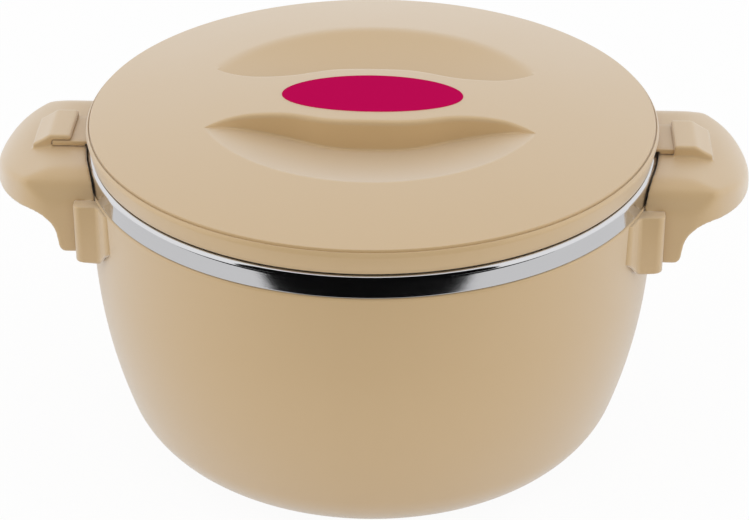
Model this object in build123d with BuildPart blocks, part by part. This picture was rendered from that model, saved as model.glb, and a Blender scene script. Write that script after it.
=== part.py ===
"""Insulated serving bowl with a twist-lock lid.

A moulded bowl holds a steel bowl in foam. Two ear handles slide into rails on the wall. The
domed lid has a round dish with a grip bar across it, and two tongues that turn under the
catches on the handles. Millimetres, +Z up, +X through the handles, origin at the middle of the
base.
"""
import math
import os

from build123d import *

# Bowl, outside
rim_radius = 120.0
rim_height = 125.5
wall_draft = 1.5
wall_straight = 35.5
base_inset = 44.3
corner_radius = 33.2
shell_wall = 2.8
foot_width = 8.0
foot_recess = 1.0

# Steel bowl
steel_sheet = 0.7
wall_depth = 10.0
band_inset = 0.3
band_height = 9.4
band_gap = 0.7
rim_round = 2.0

# Lid, outside
skirt_gap = 0.5
skirt_height = 10.7
skirt_taper = 1.7
skirt_wall = 2.2
edge_round = 3.0
groove_inset = 1.3
groove_width = 0.8
groove_depth = 0.6
dome_rise = 9.2
lid_skin = 2.4

# Dish and grip bar in the lid
dish_radius = 73.5
dish_depth = 14.8
dish_round = 8.0
bar_half_width = 26.2
bar_overlap = 6.0
bar_round = 2.8
bar_sink = 0.1
bar_x_shares = (0.0, 0.265, 0.43, 0.62, 0.775, 0.92)
bar_y_shares = (1.0, 0.945, 0.79, 0.73, 0.81, 1.06)
bar_flare_share = 1.42

# Badge on the grip bar
badge_length = 76.0
badge_width = 34.6
badge_seat = 0.5
badge_proud = 0.3

# Lid, inside
seal_thickness = 2.0
seal_overhang = 0.4
seal_width = 6.8
pan_wall = 2.0
plug_gap = 1.8
plug_depth = 11.0
plug_round = 5.0
bead_height = 0.8
bead_width = 1.4

# Twist lock
tongue_width = 21.6
tongue_length = 14.5
tongue_thickness = 2.2
tongue_rise = 1.4
catch_gap = 0.3
catch_inset = 6.0
catch_length = 16.2
catch_width = 25.8
catch_roof = 2.1
catch_fall = 4.6
catch_sink = 2.4
catch_flat_share = 0.56
catch_bend = 3.0
catch_round = 1.2

# Handles
handle_reach = 39.0
handle_half_width = 41.5
handle_gap = 1.0
handle_wall = 2.6
handle_top_length = 10.5
handle_tip_drop = 11.2
handle_side_round = 13.0
tip_arc = 52.0
tip_corner = 19.0
tip_round = 1.4
lip_run = 4.0
root_plate = 3.4
root_height = 18.8
root_depth = 8.4
root_lean = 2.8
root_round = 3.0
grip_depth = 15.8
grip_slope = 0.4
grip_round = 13.0

# Rails that hold the handles
rail_height = 25.9
rail_width = 7.0
rail_reach = 1.2
rail_round = 2.0
rail_below = 1.2
pad_width = 8.0
pad_thickness = 1.2
pad_chamfer = 4.0
flange_depth = 3.2
flange_thickness = 2.4
flange_inset = 0.3

# Snap that keeps a handle down
snap_width = 12.0
snap_height = 4.0
snap_depth = 1.0
snap_lift = 7.5

# Foam filling holes
base_hole = 10.0
base_plug_head = 14.0
base_plug_head_height = 0.8
lid_hole = 7.0
lid_plug_head = 10.0
lid_plug_head_height = 0.9

# Clearances
fit = 0.2
overrun = 5.0

# Levels worked out from the sizes
rim_top = rim_height + band_gap + band_height
skirt_bottom = rim_top + skirt_gap
groove_z = skirt_bottom + skirt_height
lid_apex = groove_z + dome_rise
seal_top = rim_top + seal_thickness
plug_bottom = rim_top - plug_depth
tongue_top = skirt_bottom + tongue_rise
tongue_bottom = tongue_top - tongue_thickness
handle_top = tongue_bottom - catch_gap
handle_bottom = handle_top - grip_depth - root_height
neck_top = rim_top - rim_round

# Radii worked out from the sizes: the lid is as wide as the bowl
lid_radius = rim_radius
base_radius = rim_radius - base_inset
band_radius = rim_radius - band_inset
groove_radius = lid_radius - groove_inset
skirt_radius = lid_radius - skirt_taper
skirt_bore = skirt_radius - skirt_wall
tongue_tip = lid_radius + tongue_length
handle_bore = band_radius + handle_gap

# Bowl outline: a drafted wall, a long arc tangent to it and a corner arc tangent to the base
draft = math.radians(wall_draft)
wall_normal = Vector(math.cos(draft), -math.sin(draft))
wall_end = Vector(
    rim_radius - wall_straight * math.sin(draft), rim_height - wall_straight * math.cos(draft)
)
corner_centre = Vector(base_radius, corner_radius)
span = wall_end - corner_centre
wall_arc = (span.dot(span) - corner_radius**2) / (2 * (span.dot(wall_normal) - corner_radius))
wall_centre = wall_end - wall_normal * wall_arc
corner_normal = (corner_centre - wall_centre).normalized()

# Lid spheres: the dome through the groove, and the dish through its rim on the dome
dome_sphere = (groove_radius**2 + dome_rise**2) / (2 * dome_rise)
dome_centre = lid_apex - dome_sphere
dish_floor = lid_apex - dish_depth
dish_rim = dome_centre + math.sqrt(dome_sphere**2 - dish_radius**2)
dish_rise = dish_rim - dish_floor
dish_sphere = (dish_radius**2 + dish_rise**2) / (2 * dish_rise)
dish_centre = dish_floor + dish_sphere
half_turn_share = math.sqrt(0.5)


def wall_radius(inset, z):
    """Radius of the drafted wall, set in by a wall depth, at a height."""
    foot = wall_centre + wall_normal * (wall_arc - inset)
    return foot.X + (z - foot.Y) * math.tan(draft)


def bowl_side(inset, top):
    """Draw the bowl's outline, set in by a wall depth, from the base up to a height."""
    down = Vector(0, -1)
    low = corner_centre + down * (corner_radius - inset)
    low_mid = corner_centre + (down + corner_normal).normalized() * (corner_radius - inset)
    knee = corner_centre + corner_normal * (corner_radius - inset)
    high_mid = wall_centre + (corner_normal + wall_normal).normalized() * (wall_arc - inset)
    high = wall_centre + wall_normal * (wall_arc - inset)
    ThreePointArc(low, low_mid, knee)
    ThreePointArc(knee, high_mid, high)
    Line(high, (wall_radius(inset, top), top))


def dome_z(r, depth):
    """Height of the dome at a radius, at a depth below its surface."""
    return dome_centre + math.sqrt((dome_sphere - depth) ** 2 - r**2)


def dish_z(r, depth):
    """Height of the dish at a radius, at a depth below its surface."""
    return dish_centre - math.sqrt((dish_sphere + depth) ** 2 - r**2)


def crease(depth):
    """Radius where the dome and the dish meet at a depth below their surfaces."""
    apart = dish_centre - dome_centre
    up = ((dome_sphere - depth) ** 2 - (dish_sphere + depth) ** 2 + apart**2) / (2 * apart)
    return math.sqrt((dome_sphere - depth) ** 2 - up**2)


def lid_surface(outer, depth):
    """Draw the dome from a radius inward and the dish to the axis, at a depth below the lid."""
    edge = crease(depth)
    ring = (outer + edge) / 2
    ThreePointArc((outer, dome_z(outer, depth)), (ring, dome_z(ring, depth)), (edge, dome_z(edge, depth)))
    ThreePointArc((edge, dome_z(edge, depth)), (edge / 2, dish_z(edge / 2, depth)), (0, dish_z(0, depth)))


def grip_bar(inset, crown_depth, floor_depth, top_round):
    """Bar across the dish, set in from its sides, its crown and its foot."""
    xs = [share * dish_radius for share in bar_x_shares] + [dish_radius + bar_overlap - inset]
    ys = [share * bar_half_width - inset for share in bar_y_shares + (bar_flare_share,)]
    right = [(x, y) for x, y in zip(xs, ys)]
    left = [(-x, y) for x, y in zip(xs[:0:-1], ys[:0:-1])]
    side = left + right
    with BuildPart() as bar:
        with BuildSketch(Plane.XY.offset(dish_floor - dish_depth)):
            with BuildLine():
                back = Spline(*side)
                front = Spline(*[(x, -y) for x, y in side])
                Line(back @ 0, front @ 0)
                Line(back @ 1, front @ 1)
            make_face()
        extrude(amount=3 * dish_depth)
        with Locations((0, 0, dome_centre)):
            Sphere(dome_sphere - crown_depth, mode=Mode.INTERSECT)
        if top_round > 0:
            fillet(bar.faces().sort_by(Axis.Z)[-1].edges(), radius=top_round)
        with Locations((0, 0, dish_centre)):
            Sphere(dish_sphere + floor_depth, mode=Mode.INTERSECT)
    return bar.part


def badge_blank(clearance, proud):
    """Oval block that follows the dome, from the floor of its seat up."""
    with BuildPart() as blank:
        with BuildSketch(Plane.XY.offset(lid_apex - dish_depth)):
            Ellipse(badge_length / 2 + clearance, badge_width / 2 + clearance)
        extrude(amount=2 * dish_depth)
        with Locations((0, 0, dome_centre)):
            Sphere(dome_sphere + proud, mode=Mode.INTERSECT)
            Sphere(dome_sphere - badge_seat, mode=Mode.SUBTRACT)
    return blank.part


# One rail, at the back of the right handle: a post with a groove and a pad on the wall
rail_inner = handle_half_width + fit
rail_outer = rail_inner + rail_width
rail_bottom = handle_bottom - rail_below
rail_face = lid_radius + rail_reach
rail_root = rim_radius - shell_wall / 2 - wall_straight * math.tan(draft)
flange_x = math.sqrt(handle_bore**2 - handle_half_width**2) + flange_inset

with BuildPart() as rail:
    with BuildSketch(Plane.XY.offset(rail_bottom)):
        with BuildLine():
            FilletPolyline(
                (rail_root / 2, rail_outer),
                (rail_face, rail_outer),
                (rail_face, rail_inner),
                radius=rail_round,
            )
            Polyline((rail_face, rail_inner), (rail_root / 2, rail_inner), (rail_root / 2, rail_outer))
        make_face()
        Circle(rail_root, mode=Mode.SUBTRACT)
    extrude(amount=rail_height)
    with BuildSketch(Plane.XY.offset(handle_bottom - fit)):
        with Locations((flange_x - fit, rail_inner - overrun)):
            Rectangle(
                flange_thickness + 2 * fit, flange_depth + fit + overrun, align=(Align.MIN, Align.MIN)
            )
    extrude(amount=rail_height, mode=Mode.SUBTRACT)

with BuildPart() as rail_pad:
    with BuildSketch(Plane.YZ):
        with BuildLine():
            Polyline(
                (rail_outer - rail_width / 2, rail_bottom),
                (rail_outer + pad_width - pad_chamfer, rail_bottom),
                (rail_outer + pad_width, rail_bottom + pad_chamfer),
                (rail_outer + pad_width, rail_bottom + rail_height),
                (rail_outer - rail_width / 2, rail_bottom + rail_height),
                close=True,
            )
        make_face()
    extrude(amount=rail_face)
    with Locations((0, 0, rim_height / 2)):
        Cylinder(rim_radius + pad_thickness, 2 * rim_height, mode=Mode.INTERSECT)
        Cylinder(rail_root, 2 * rim_height, mode=Mode.SUBTRACT)

# Snap nib on the wall behind each handle's root plate, with a ramp on top
snap_bottom = handle_bottom + snap_lift
snap_face = handle_bore + snap_depth

with BuildPart() as snap:
    with BuildSketch(Plane.XZ):
        with BuildLine():
            Polyline(
                (rail_root, snap_bottom),
                (snap_face, snap_bottom),
                (rail_root, snap_bottom + snap_height),
                close=True,
            )
        make_face()
    extrude(amount=snap_width / 2, both=True)

# Moulded outer bowl
neck_radius = band_radius - steel_sheet - fit

with BuildPart() as outer_bowl:
    with BuildSketch(Plane.XZ):
        with BuildLine():
            Line((0, foot_recess), (base_radius - foot_width, foot_recess))
            Line((base_radius - foot_width, foot_recess), (base_radius - foot_width, 0))
            Line((base_radius - foot_width, 0), (base_radius, 0))
            bowl_side(0, rim_height)
            Line((rim_radius, rim_height), (neck_radius, rim_height))
            Line((neck_radius, rim_height), (neck_radius, neck_top))
            Line((neck_radius, neck_top), (wall_radius(shell_wall, neck_top), neck_top))
            bowl_side(shell_wall, neck_top)
            Line((base_radius, shell_wall), (0, shell_wall))
            Line((0, shell_wall), (0, foot_recess))
        make_face()
    revolve(axis=Axis.Z)
    for post in (rail.part, rail_pad.part):
        back = mirror(post, about=Plane.XZ, mode=Mode.PRIVATE)
        add(post)
        add(back)
        mirror(post, about=Plane.YZ)
        mirror(back, about=Plane.YZ)
    add(snap.part)
    mirror(snap.part, about=Plane.YZ)
    Cylinder(base_hole, 2 * shell_wall + overrun, mode=Mode.SUBTRACT)
outer_bowl.part.label = "outer_bowl"

# Stopper of the filling hole, its head inside the foot ring
with BuildPart() as base_plug:
    with BuildSketch(Plane.XY.offset(foot_recess)):
        Circle(base_hole - fit)
    extrude(amount=shell_wall - foot_recess)
    with BuildSketch(Plane.XY.offset(foot_recess)):
        Circle(base_plug_head)
    extrude(amount=-base_plug_head_height)
base_plug.part.label = "base_plug"

# Steel bowl, its rim turned outward and down into a band
mouth_radius = wall_radius(wall_depth, neck_top)
steel_back = wall_depth - steel_sheet
bend_back = rim_round - steel_sheet
mouth_bend = Vector(mouth_radius + rim_round, neck_top)
band_bend = Vector(band_radius - rim_round, neck_top)
band_bottom = rim_height + band_gap


def rim_bend(centre, side, radius):
    """Quarter arc of a rim bend, from the flat of the rim to its side wall."""
    lean = Vector(side * half_turn_share, half_turn_share)
    ThreePointArc(
        centre + Vector(0, radius), centre + lean * radius, centre + Vector(side * radius, 0)
    )


with BuildPart() as liner:
    with BuildSketch(Plane.XZ):
        with BuildLine():
            Line((0, wall_depth), (base_radius, wall_depth))
            bowl_side(wall_depth, neck_top)
            rim_bend(mouth_bend, -1, rim_round)
            Line(mouth_bend + Vector(0, rim_round), band_bend + Vector(0, rim_round))
            rim_bend(band_bend, 1, rim_round)
            Line((band_radius, neck_top), (band_radius, band_bottom))
            Line((band_radius, band_bottom), (band_radius - steel_sheet, band_bottom))
            Line((band_radius - steel_sheet, band_bottom), (band_radius - steel_sheet, neck_top))
            rim_bend(band_bend, 1, bend_back)
            Line(mouth_bend + Vector(0, bend_back), band_bend + Vector(0, bend_back))
            rim_bend(mouth_bend, -1, bend_back)
            Line((mouth_radius + steel_sheet, neck_top), (wall_radius(steel_back, neck_top), neck_top))
            bowl_side(steel_back, neck_top)
            Line((base_radius, steel_back), (0, steel_back))
            Line((0, steel_back), (0, wall_depth))
        make_face()
    revolve(axis=Axis.Z)
liner.part.label = "liner"

# Foam between the two bowls
foam_outer = shell_wall + fit
foam_inner = steel_back - fit

with BuildPart() as bowl_insulation:
    with BuildSketch(Plane.XZ):
        with BuildLine():
            Line((0, foam_outer), (base_radius, foam_outer))
            bowl_side(foam_outer, neck_top)
            Line((wall_radius(foam_outer, neck_top), neck_top), (wall_radius(foam_inner, neck_top), neck_top))
            bowl_side(foam_inner, neck_top)
            Line((base_radius, foam_inner), (0, foam_inner))
            Line((0, foam_inner), (0, foam_outer))
        make_face()
    revolve(axis=Axis.Z)
bowl_insulation.part.label = "bowl_insulation"

# Handle: side, plan and front outlines crossed, hollow from below
handle_tip = lid_radius + handle_reach
handle_inner = lid_radius - 2 * overrun
top_end = lid_radius + handle_top_length
tip_z = handle_top - handle_tip_drop
tip_run = handle_tip - top_end
tip_fall = (tip_run**2 + handle_tip_drop**2) / (2 * handle_tip_drop)
lip_z = handle_top - grip_depth
root_face = lid_radius + root_depth
root_top = root_face + root_lean
arc_start = lid_radius + handle_reach - tip_arc
fall_centre = handle_top - tip_fall


def handle_plan(inset):
    """Outline of the handle from above, set in by a wall."""
    half = handle_half_width - inset
    tip = tip_arc - inset
    corner = arc_start + math.sqrt(tip**2 - half**2)
    with BuildSketch() as plan:
        with BuildLine():
            ThreePointArc((corner, -half), (arc_start + tip, 0), (corner, half))
            Polyline((corner, half), (handle_inner, half), (handle_inner, -half), (corner, -half))
        make_face()
        fillet(plan.vertices().group_by(Axis.X)[-1], radius=tip_corner - inset)
    return plan.sketch


def handle_crown(depth):
    """Outline of the handle's top around the bowl's axis: flat, then falling in an arc."""
    crown = handle_top - depth
    fall = tip_fall - depth
    end = top_end + math.sqrt(fall**2 - (tip_z - fall_centre) ** 2)
    turn = math.asin((end - top_end) / fall) / 2
    with BuildSketch(Plane.XZ) as profile:
        with BuildLine():
            ThreePointArc(
                (top_end, crown),
                (top_end + fall * math.sin(turn), fall_centre + fall * math.cos(turn)),
                (end, tip_z),
            )
            Polyline((end, tip_z), (end, 0), (0, 0), (0, crown), (top_end, crown))
        make_face()
    return profile.sketch


def handle_end(inset):
    """Outline of the handle from its end, set in by a wall: upright sides and round shoulders."""
    half = handle_half_width - inset
    crown = handle_top - inset
    with BuildSketch(Plane.YZ) as end:
        with BuildLine():
            FilletPolyline(
                (-half, 0), (-half, crown), (half, crown), (half, 0), radius=handle_side_round - inset
            )
            Line((half, 0), (-half, 0))
        make_face()
    return end.sketch


with BuildPart() as handle_cavity:
    add(handle_crown(handle_wall))
    revolve(axis=Axis.Z)
    with BuildSketch(Plane.XY):
        add(handle_plan(handle_wall))
    extrude(amount=2 * handle_top, mode=Mode.INTERSECT)
    add(handle_end(handle_wall))
    extrude(amount=handle_tip + overrun, dir=(1, 0, 0), mode=Mode.INTERSECT)
    Cylinder(handle_bore + root_plate, 3 * handle_top, mode=Mode.SUBTRACT)

# Catch on the handle's top: a roof over the lid's tongue, open on the side it turns in from
catch_start = lid_radius + catch_inset
catch_end = catch_start + catch_length
catch_top = tongue_top + catch_gap + catch_roof
catch_foot = handle_top - catch_sink

with BuildPart() as catch:
    with BuildSketch(Plane.XZ):
        with BuildLine():
            FilletPolyline(
                (catch_start, catch_top),
                (catch_start + catch_length * catch_flat_share, catch_top),
                (catch_end, catch_top - catch_fall),
                radius=catch_bend,
            )
            Polyline(
                (catch_end, catch_top - catch_fall),
                (catch_end, catch_foot),
                (catch_start, catch_foot),
                (catch_start, catch_top),
            )
        make_face()
    extrude(amount=catch_width / 2, both=True)
    fillet(catch.faces().sort_by(Axis.Z)[-1].edges(), radius=catch_round)

with BuildPart() as handle_right:
    with BuildSketch(Plane.XZ):
        with BuildLine():
            FilletPolyline(
                (handle_inner, handle_top),
                (handle_tip, handle_top),
                (handle_tip, lip_z),
                (handle_tip - lip_run, lip_z),
                (root_top, lip_z - grip_slope),
                (root_face, handle_bottom),
                (handle_inner, handle_bottom),
                radius=[tip_round, tip_round, tip_round, grip_round, root_round],
            )
            Line((handle_inner, handle_bottom), (handle_inner, handle_top))
        make_face()
    extrude(amount=handle_half_width, both=True)
    with BuildSketch(Plane.XY):
        add(handle_plan(0))
    extrude(amount=2 * handle_top, mode=Mode.INTERSECT)
    add(handle_end(0))
    extrude(amount=handle_tip + overrun, dir=(1, 0, 0), mode=Mode.INTERSECT)
    add(handle_crown(0))
    revolve(axis=Axis.Z, mode=Mode.INTERSECT)
    add(handle_cavity.part, mode=Mode.SUBTRACT)
    with BuildSketch(Plane.XY.offset(handle_bottom)):
        with Locations((flange_x, 0)):
            Rectangle(
                flange_thickness, 2 * (handle_half_width + flange_depth), align=(Align.MIN, Align.CENTER)
            )
            Rectangle(
                flange_thickness,
                2 * (handle_half_width - handle_wall / 2),
                align=(Align.MIN, Align.CENTER),
                mode=Mode.SUBTRACT,
            )
    extrude(amount=rail_bottom + rail_height - fit - handle_bottom)
    add(catch.part)
    with BuildSketch(Plane.XY.offset(handle_top)):
        with Locations((lid_radius, -tongue_width / 2 - catch_gap)):
            Rectangle(
                handle_reach, tongue_width + catch_width, align=(Align.MIN, Align.MIN)
            )
        Circle(tongue_tip + catch_gap, mode=Mode.INTERSECT)
    extrude(amount=tongue_thickness + 2 * catch_gap, mode=Mode.SUBTRACT)
    Cylinder(handle_bore, 3 * handle_top, mode=Mode.SUBTRACT)
    with BuildSketch(Plane.XZ):
        with Locations((handle_bore - overrun, snap_bottom - fit)):
            Rectangle(
                overrun + snap_depth + fit, snap_height + 2 * fit, align=(Align.MIN, Align.MIN)
            )
    extrude(amount=snap_width / 2 + fit, both=True, mode=Mode.SUBTRACT)
handle_right.part.label = "handle_right"

with BuildPart() as handle_left:
    add(handle_right.part, rotation=(0, 0, 180))
handle_left.part.label = "handle_left"

# Lid: a domed shell with a dish, a hollow grip bar, a badge seat and two tongues
bar_body = grip_bar(0, bar_sink, lid_skin / 2, bar_round)
bar_hollow = grip_bar(lid_skin, lid_skin, 2 * lid_skin, 0)
bar_fill = grip_bar(lid_skin + fit, lid_skin + fit, 2 * lid_skin, 0)
badge_pocket = badge_blank(fit, overrun)
badge_plate = badge_blank(0, badge_proud)

with BuildPart() as lid_top:
    with BuildSketch(Plane.XZ):
        with BuildLine():
            dome_end = groove_radius - groove_width / 2
            edge_start = groove_radius + groove_width / 2
            edge_run = lid_radius - edge_start
            lid_surface(dome_end, 0)
            Polyline(
                (dome_end, dome_z(dome_end, 0)),
                (groove_radius, groove_z - groove_depth),
                (edge_start, groove_z),
            )
            ThreePointArc(
                (edge_start, groove_z),
                (
                    edge_start + edge_run * half_turn_share,
                    groove_z - edge_round * (1 - half_turn_share),
                ),
                (lid_radius, groove_z - edge_round),
            )
            Polyline(
                (lid_radius, groove_z - edge_round),
                (skirt_radius, skirt_bottom),
                (skirt_bore, skirt_bottom),
                (skirt_bore, dome_z(skirt_bore, lid_skin)),
            )
            lid_surface(skirt_bore, lid_skin)
            Line((0, dish_z(0, lid_skin)), (0, dish_z(0, 0)))
        make_face()
    revolve(axis=Axis.Z)
    fillet(lid_top.edges().filter_by(GeomType.CIRCLE).sort_by(Axis.Z)[-1], radius=dish_round)
    add(bar_body)
    add(bar_hollow, mode=Mode.SUBTRACT)
    add(badge_pocket, mode=Mode.SUBTRACT)
    with BuildSketch(Plane.XY.offset(tongue_bottom)):
        Circle(tongue_tip)
        Rectangle(2 * tongue_tip, tongue_width, mode=Mode.INTERSECT)
        Circle(handle_bore, mode=Mode.SUBTRACT)
    extrude(amount=tongue_thickness)
    with BuildSketch(Plane.XY.offset(skirt_bottom)):
        Circle(tongue_tip)
        Rectangle(2 * tongue_tip, tongue_width, mode=Mode.INTERSECT)
        Circle(skirt_radius - skirt_wall / 2, mode=Mode.SUBTRACT)
    extrude(amount=tongue_rise)
lid_top.part.label = "lid_top"

with BuildPart() as badge:
    add(badge_plate)
badge.part.label = "badge"

# Pan that closes the lid from below, with a bead that holds the seal on
plug_radius = mouth_radius - plug_gap
pan_bore = plug_radius - pan_wall
pan_floor = plug_bottom + pan_wall
flange_top = seal_top + pan_wall
flange_radius = skirt_bore - fit

with BuildPart() as lid_inner:
    with BuildSketch(Plane.XZ):
        with BuildLine():
            FilletPolyline(
                (0, plug_bottom),
                (plug_radius, plug_bottom),
                (plug_radius, rim_top - bead_width),
                radius=plug_round,
            )
            Polyline(
                (plug_radius, rim_top - bead_width),
                (plug_radius + bead_height, rim_top - bead_width / 2),
                (plug_radius, rim_top),
                (plug_radius, seal_top),
                (flange_radius, seal_top),
                (flange_radius, flange_top),
                (pan_bore, flange_top),
            )
            FilletPolyline(
                (pan_bore, flange_top),
                (pan_bore, pan_floor),
                (0, pan_floor),
                radius=plug_round - pan_wall,
            )
            Line((0, pan_floor), (0, plug_bottom))
        make_face()
    revolve(axis=Axis.Z)
    with Locations((0, 0, plug_bottom)):
        Cylinder(lid_hole, 2 * pan_wall + overrun, mode=Mode.SUBTRACT)
lid_inner.part.label = "lid_inner"

# Stopper of the pan's filling hole
with BuildPart() as lid_plug:
    with BuildSketch(Plane.XY.offset(plug_bottom)):
        Circle(lid_hole - fit)
    extrude(amount=pan_wall)
    with BuildSketch(Plane.XY.offset(plug_bottom)):
        Circle(lid_plug_head)
    extrude(amount=-lid_plug_head_height)
lid_plug.part.label = "lid_plug"

# Foam inside the lid, up into the grip bar
with BuildPart() as lid_insulation:
    with BuildSketch(Plane.XZ):
        with BuildLine():
            FilletPolyline(
                (0, pan_floor + fit),
                (pan_bore - fit, pan_floor + fit),
                (pan_bore - fit, flange_top + fit),
                radius=plug_round - pan_wall,
            )
            Polyline(
                (pan_bore - fit, flange_top + fit),
                (skirt_bore - fit, flange_top + fit),
                (skirt_bore - fit, dome_z(skirt_bore - fit, lid_skin + fit)),
            )
            lid_surface(skirt_bore - fit, lid_skin + fit)
            Line((0, dish_z(0, lid_skin + fit)), (0, pan_floor + fit))
        make_face()
    revolve(axis=Axis.Z)
    add(bar_fill)
lid_insulation.part.label = "lid_insulation"

# Soft ring between the pan's flange and the steel rim
with BuildPart() as lid_seal:
    with BuildSketch(Plane.XZ):
        with Locations((plug_radius + seal_overhang, rim_top)):
            Rectangle(seal_width, seal_thickness, align=(Align.MIN, Align.MIN))
    revolve(axis=Axis.Z)
lid_seal.part.label = "lid_seal"

os.makedirs("parts", exist_ok=True)
export_step(outer_bowl.part, "parts/outer_bowl.step")
export_step(base_plug.part, "parts/base_plug.step")
export_step(liner.part, "parts/liner.step")
export_step(bowl_insulation.part, "parts/bowl_insulation.step")
export_step(handle_right.part, "parts/handle_right.step")
export_step(handle_left.part, "parts/handle_left.step")
export_step(lid_top.part, "parts/lid_top.step")
export_step(lid_inner.part, "parts/lid_inner.step")
export_step(lid_plug.part, "parts/lid_plug.step")
export_step(lid_insulation.part, "parts/lid_insulation.step")
export_step(lid_seal.part, "parts/lid_seal.step")
export_step(badge.part, "parts/badge.step")
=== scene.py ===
"""Looks of an insulated serving bowl with a twist-lock lid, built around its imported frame."""
import math

import bmesh
import bpy
import numpy as np
from bpy.props import FloatProperty, FloatVectorProperty, IntProperty, PointerProperty
from mathutils import Matrix, Vector


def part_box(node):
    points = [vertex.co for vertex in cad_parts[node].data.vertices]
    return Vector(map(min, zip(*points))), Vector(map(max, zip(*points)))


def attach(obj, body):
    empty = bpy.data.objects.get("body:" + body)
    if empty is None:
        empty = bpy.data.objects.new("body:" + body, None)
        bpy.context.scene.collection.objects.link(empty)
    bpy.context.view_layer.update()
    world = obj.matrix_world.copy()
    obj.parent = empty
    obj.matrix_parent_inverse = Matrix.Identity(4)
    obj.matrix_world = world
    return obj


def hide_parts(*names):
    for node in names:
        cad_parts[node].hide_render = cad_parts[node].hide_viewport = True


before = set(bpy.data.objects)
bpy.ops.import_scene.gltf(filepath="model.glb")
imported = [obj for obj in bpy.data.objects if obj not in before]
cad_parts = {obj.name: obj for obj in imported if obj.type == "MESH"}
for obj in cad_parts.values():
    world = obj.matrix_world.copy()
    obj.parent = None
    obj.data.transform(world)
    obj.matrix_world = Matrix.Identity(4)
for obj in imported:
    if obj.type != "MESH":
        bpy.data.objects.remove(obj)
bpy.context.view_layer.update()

bl_info = {
    "name": "Insulated Serving Bowl",
    "version": (1, 0, 0),
    "blender": (4, 5, 0),
    "location": "3D View > Sidebar > Serving Bowl",
    "description": "Builds the moulded bowl, steel liner, ear handles and twist-lock lid of a serving bowl",
    "category": "Object",
}

SHELL_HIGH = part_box("outer_bowl")[1]
LINER_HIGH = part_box("liner")[1]
LID_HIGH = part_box("lid_top")[1]
BADGE_LOW, BADGE_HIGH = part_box("badge")
PAN_LOW, PAN_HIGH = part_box("lid_inner")
SEAL_LOW, SEAL_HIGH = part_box("lid_seal")

# Points closer than this, in metres, are one point.
MERGE = 1e-6

# Columns of the lid's net along the grip bar, rows over half the bar and rows over the dish's floor.
LID_COLUMNS, BAR_ROWS, FLOOR_ROWS = 280, 20, 22

# Places along half the grip bar, as shares of the dish's radius, and the bar's widths there and a little
# past the dish's edge, as shares of the width at its middle.
BAR_STATIONS = (0.0, 0.265, 0.43, 0.62, 0.775, 0.92)
BAR_WIDTHS = (1.0, 0.945, 0.79, 0.73, 0.81, 1.06, 1.42)

# How far inside the ring groove the lid's edge section starts.
GROOVE_APPROACH = 0.0013


def length(name, description, default):
    """Property for a size in metres."""
    return FloatProperty(name=name, description=description, default=default, unit="LENGTH")


class BowlSizes(bpy.types.PropertyGroup):
    """Sizes of the moulded bowl and its steel liner."""

    rim_radius: length("Rim Radius", "Radius of the moulded bowl at its rim", SHELL_HIGH.y)
    rim_height: length("Rim Height", "Height of the moulded rim under the steel band", 0.1255)
    wall_draft: FloatProperty(
        name="Wall Draft", description="Lean of the straight part of the wall",
        default=math.radians(1.5), subtype="ANGLE",
    )
    wall_straight: length("Straight Wall", "Length of the straight part of the wall", 0.0355)
    base_inset: length("Base Inset", "How far the flat base is in from the rim", 0.0443)
    corner_radius: length("Corner Radius", "Radius of the lower corner of the bowl", 0.0332)
    shell_wall: length("Shell Wall", "Thickness of the moulded wall", 0.0028)
    foot_width: length("Foot Width", "Width of the ring that the bowl stands on", 0.008)
    foot_recess: length("Foot Recess", "Depth of the base inside the foot ring", 0.001)
    wall_depth: length("Wall Depth", "From the outside of the bowl to the inside of the steel", 0.010)
    steel_sheet: length("Steel Sheet", "Thickness of the steel sheet", 0.0007)
    rim_top: length("Steel Rim Height", "Height of the top of the steel rim", LINER_HIGH.z)
    band_radius: length("Band Radius", "Outside radius of the steel band", LINER_HIGH.y)
    band_gap: length("Band Gap", "From the moulded rim's height up to the band's lower edge", 0.0007)
    rim_round: length("Rim Round", "Radius of the bends in the steel rim", 0.002)
    rim_lift: length("Rim Lift", "How far the moulded rim stands up into the gap under the band", 0.00055)
    shoulder_round: length("Shoulder Round", "Radius of the moulded rim's outer edge", 0.0013)
    segments: IntProperty(
        name="Segments", description="Faces round each turned piece", default=256, min=48, max=512,
    )


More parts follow.
